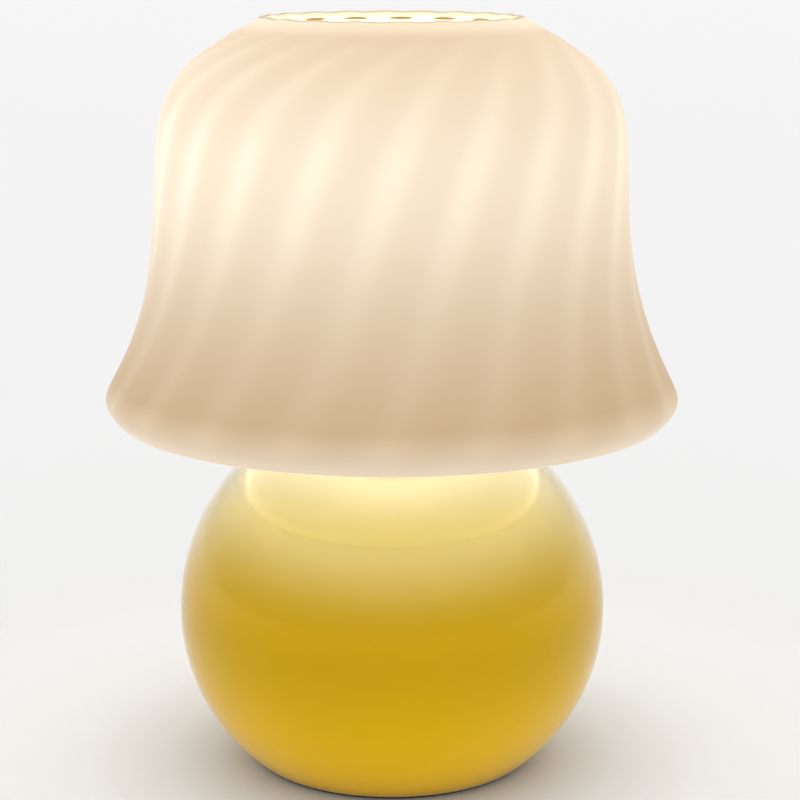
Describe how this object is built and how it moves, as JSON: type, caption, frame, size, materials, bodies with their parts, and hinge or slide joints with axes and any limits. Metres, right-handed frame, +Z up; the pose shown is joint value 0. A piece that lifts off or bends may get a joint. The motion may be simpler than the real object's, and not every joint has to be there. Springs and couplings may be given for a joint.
{
  "type": "mushroom table lamp",
  "caption": "Mushroom table lamp: a bell shade of swirled frosted glass over a screw-in bulb, on a hollow glazed ball base with a flat foot pad.",
  "frame": {"origin": "centre of the foot pad's underside, on the table, on the lamp's axis", "axes": "+Z up along the lamp's axis, +Y to the rear where the cable inlet is, +X to the right seen from the front"},
  "size_m": [0.1996, 0.1996, 0.2634],
  "materials": {
    "frosted_glass": "satin frosted, milky white, lit from inside",
    "yellow_glaze": "high-gloss yellow glaze",
    "brown_felt": "pressed felt",
    "dark_rubber": "matte",
    "zinc_steel": "zinc plated",
    "brass": "satin",
    "holder_plastic": "satin moulded",
    "white_ceramic": "unglazed steatite",
    "carrier_paint": "satin powder coat",
    "clear_silicone": "milky silicone",
    "bulb_opal": "opal, lit from inside",
    "bulb_plastic": "satin white",
    "bulb_aluminium": "bright",
    "black_insulator": "glossy black",
    "phosphor": "yellow phosphor",
    "green_board": "solder mask"
  },
  "bodies": {
    "base": {"foot_pad": "brown_felt", "ball_base": "yellow_glaze", "cable_grommet": "dark_rubber", "bottom_plate": "zinc_steel", "bottom_washer": "zinc_steel", "lock_washer": "zinc_steel", "bottom_nut": "zinc_steel", "threaded_tube": "zinc_steel", "neck_gasket": "dark_rubber", "neck_cap": "brass", "neck_nut": "brass", "holder_cap": "holder_plastic", "grub_screw": "zinc_steel", "holder_insert": "white_ceramic", "screw_shell": "brass", "centre_contact": "brass", "terminal_screws": "brass", "holder_skirt": "holder_plastic", "lower_shade_ring": "holder_plastic", "upper_shade_ring": "holder_plastic", "shade_carrier": "carrier_paint", "carrier_tip_1": "clear_silicone", "carrier_tip_2": "clear_silicone", "carrier_tip_3": "clear_silicone"},
    "shade": {"glass_shade": "frosted_glass"},
    "bulb": {"bulb_contact": "zinc_steel", "bulb_insulator": "black_insulator", "bulb_screw_cap": "bulb_aluminium", "bulb_collar": "bulb_plastic", "light_board": "bulb_aluminium", "light_chips": "phosphor", "driver_board": "green_board", "bulb_globe": "bulb_opal"}
  },
  "joints": [
    {"name": "shade_lift", "type": "slide", "parent": "base", "child": "shade", "axis": [0, 0, 1], "range_m": [0, 0.15]},
    {"name": "bulb_lift", "type": "slide", "parent": "base", "child": "bulb", "axis": [0, 0, 1], "range_m": [0, 0.12]}
  ]
}
